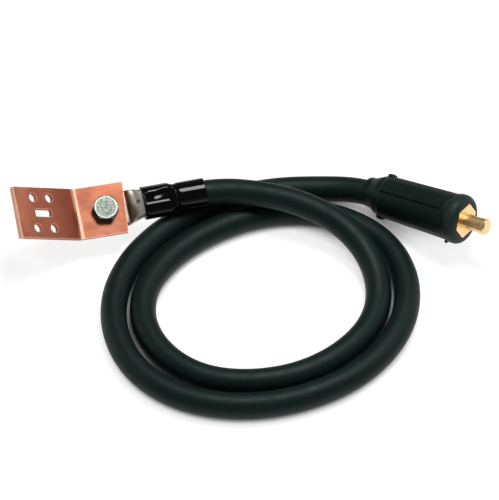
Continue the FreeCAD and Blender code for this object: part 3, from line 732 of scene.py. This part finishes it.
def cable_rubber():
    s = Shader("cable_rubber")
    clouds = s.noise(34.0, 5.0)
    grain = s.noise(1900.0, 3.0)
    base = s.mix(s.spread(clouds, 0.35, 0.68), (0.0020, 0.0088, 0.0074), (0.0036, 0.0122, 0.0104))
    dust = s.math("MULTIPLY", s.spread(s.noise(240.0, 8.0, roughness=0.75), 0.60, 0.80),
                  s.spread(clouds, 0.45, 0.6, 0.0, 0.25))
    base = s.mix(dust, base, (0.030, 0.042, 0.038))
    s.set(Base_Color=base, Specular_IOR_Level=0.2, Specular_Tint=RUBBER_TINT)
    s.set(Roughness=s.spread(s.noise(90.0, 6.0), 0.3, 0.7, 0.46, 0.58))
    s.set(Normal=s.bump(grain, 0.25, 0.0001, s.bump(s.noise(300.0, 3.0), 0.15, 0.0003)))
    return s.material


def conductor_copper():
    s = Shader("conductor_copper")
    strands = s.noise(1.0, 2.0, s.stretched(PLUG, (200, 2600, 2600)))
    s.set(Base_Color=s.mix(s.spread(strands, 0.3, 0.7), (0.55, 0.22, 0.12), (0.85, 0.45, 0.30)),
          Metallic=1.0, Roughness=0.38)
    s.set(Normal=s.bump(strands, 0.6, 0.0003))
    return s.material


def plug_brass():
    s = Shader("plug_brass")
    turning = s.noise(1.0, 2.0, s.stretched(PLUG, (1400, 25, 25)))
    clouds = s.noise(130.0, 5.0)
    base = s.mix(s.spread(clouds, 0.38, 0.66), (0.88, 0.58, 0.27), (0.97, 0.70, 0.37))
    # Painted highlight along the edges.
    base = s.mix(s.math("MULTIPLY", s.edges(0.0004), 0.6), base, (1.0, 0.84, 0.58))
    s.set(Base_Color=base, Metallic=1.0)
    s.set(Roughness=s.spread(turning, 0.3, 0.7, 0.31, 0.40))
    s.set(Normal=s.bump(turning, 0.04, 0.00002))
    return s.material


def boot_rubber():
    s = Shader("boot_rubber")
    clouds = s.noise(45.0, 5.0)
    grain = s.noise(2400.0, 3.0)
    base = s.mix(s.spread(clouds, 0.35, 0.68), (0.0016, 0.0066, 0.0054), (0.0030, 0.0096, 0.0080))
    # Painted highlight: the nose is lighter, for the light that its rounded rim catches.
    base = s.mix(s.spread(s.ahead(PLUG), *NOSE_HIGHLIGHT, 0.0, 0.8), base, (0.016, 0.028, 0.025))
    s.set(Base_Color=base, Specular_IOR_Level=0.17, Specular_Tint=RUBBER_TINT)
    s.set(Roughness=s.spread(s.noise(110.0, 6.0), 0.3, 0.7, 0.42, 0.54))
    s.set(Normal=s.bump(grain, 0.22, 0.0001))
    return s.material


paint(copper_sheet(), "copper_bracket")
paint(zinc_steel(), "terminal_bolt", "terminal_nut", "plain_washer", "spring_washer",
      "plug_clamp_screw_rear", "plug_clamp_screw_front")
paint(tinned_copper(), lug_piece)
paint(shrink_black(), sleeve_piece)
paint(cable_rubber(), cable)
paint(conductor_copper(), "cable_conductor", "plug_ferrule")
paint(plug_brass(), "plug_contact")
paint(boot_rubber(), boot_piece)

# ---------------------------------------------------------------- floor and light

WORLD_STRENGTH = 0.16
FLOOR_HALF_WIDTH = 6.0
FLOOR_GLOW = 0.84
CONTACT_SHADE_REACH = 0.022
SOFTBOXES = [
    # name, place, what it points at, width and height, power
    ("top_softbox", (0.18, 0.16, 1.35), (0.0, -0.02, 0.0), (0.56, 0.46), 15.0),
    ("side_softbox", (1.5, 0.6, 0.75), (0.0, 0.0, 0.05), (0.9, 0.6), 3.0),
    ("key_softbox", (1.15, 0.08, 1.22), (0.0, 0.0, 0.03), (0.45, 0.45), 2.0),
    ("left_softbox", (-1.3, 0.3, 0.5), (-0.08, 0.0, 0.03), (0.6, 0.4), 2.5),
]


def make_floor():
    """Floor that glows, with painted shadow: the glow fades close to what lies on it."""
    s = Shader("studio_floor")
    s.set(Base_Color=s.mix(s.noise(3.0), (0.26, 0.26, 0.26), (0.28, 0.28, 0.28)), Roughness=0.9)
    openness = s.add("ShaderNodeAmbientOcclusion", {"Distance": CONTACT_SHADE_REACH},
                     samples=8).outputs["AO"]
    s.set(Specular_IOR_Level=0.1, Emission_Color=WHITE,
          Emission_Strength=s.spread(openness, 0.20, 0.50, 0.0, FLOOR_GLOW))
    mesh = bpy.data.meshes.new("studio_floor")
    half = FLOOR_HALF_WIDTH
    mesh.from_pydata([(-half, -half, 0), (half, -half, 0), (half, half, 0), (-half, half, 0)], [],
                     [(0, 1, 2, 3)])
    mesh.materials.append(s.material)
    floor = bpy.data.objects.new("studio_floor", mesh)
    bpy.context.scene.collection.objects.link(floor)


def add_light(name, location, target, size, power):
    data = bpy.data.lights.new(name, "AREA")
    data.shape = "RECTANGLE"
    data.size, data.size_y = size
    data.energy = power
    light = bpy.data.objects.new(name, data)
    light.location = location
    direction = Vector(target) - Vector(location)
    light.rotation_euler = direction.to_track_quat("-Z", "Y").to_euler()
    bpy.context.scene.collection.objects.link(light)


def make_world():
    world = bpy.data.worlds.new("studio")
    world.use_nodes = True
    background = world.node_tree.nodes["Background"]
    background.inputs["Color"].default_value = WHITE
    background.inputs["Strength"].default_value = WORLD_STRENGTH
    bpy.context.scene.world = world


make_floor()
make_world()
for softbox in SOFTBOXES:
    add_light(*softbox)
bpy.context.scene.view_settings.view_transform = "Standard"
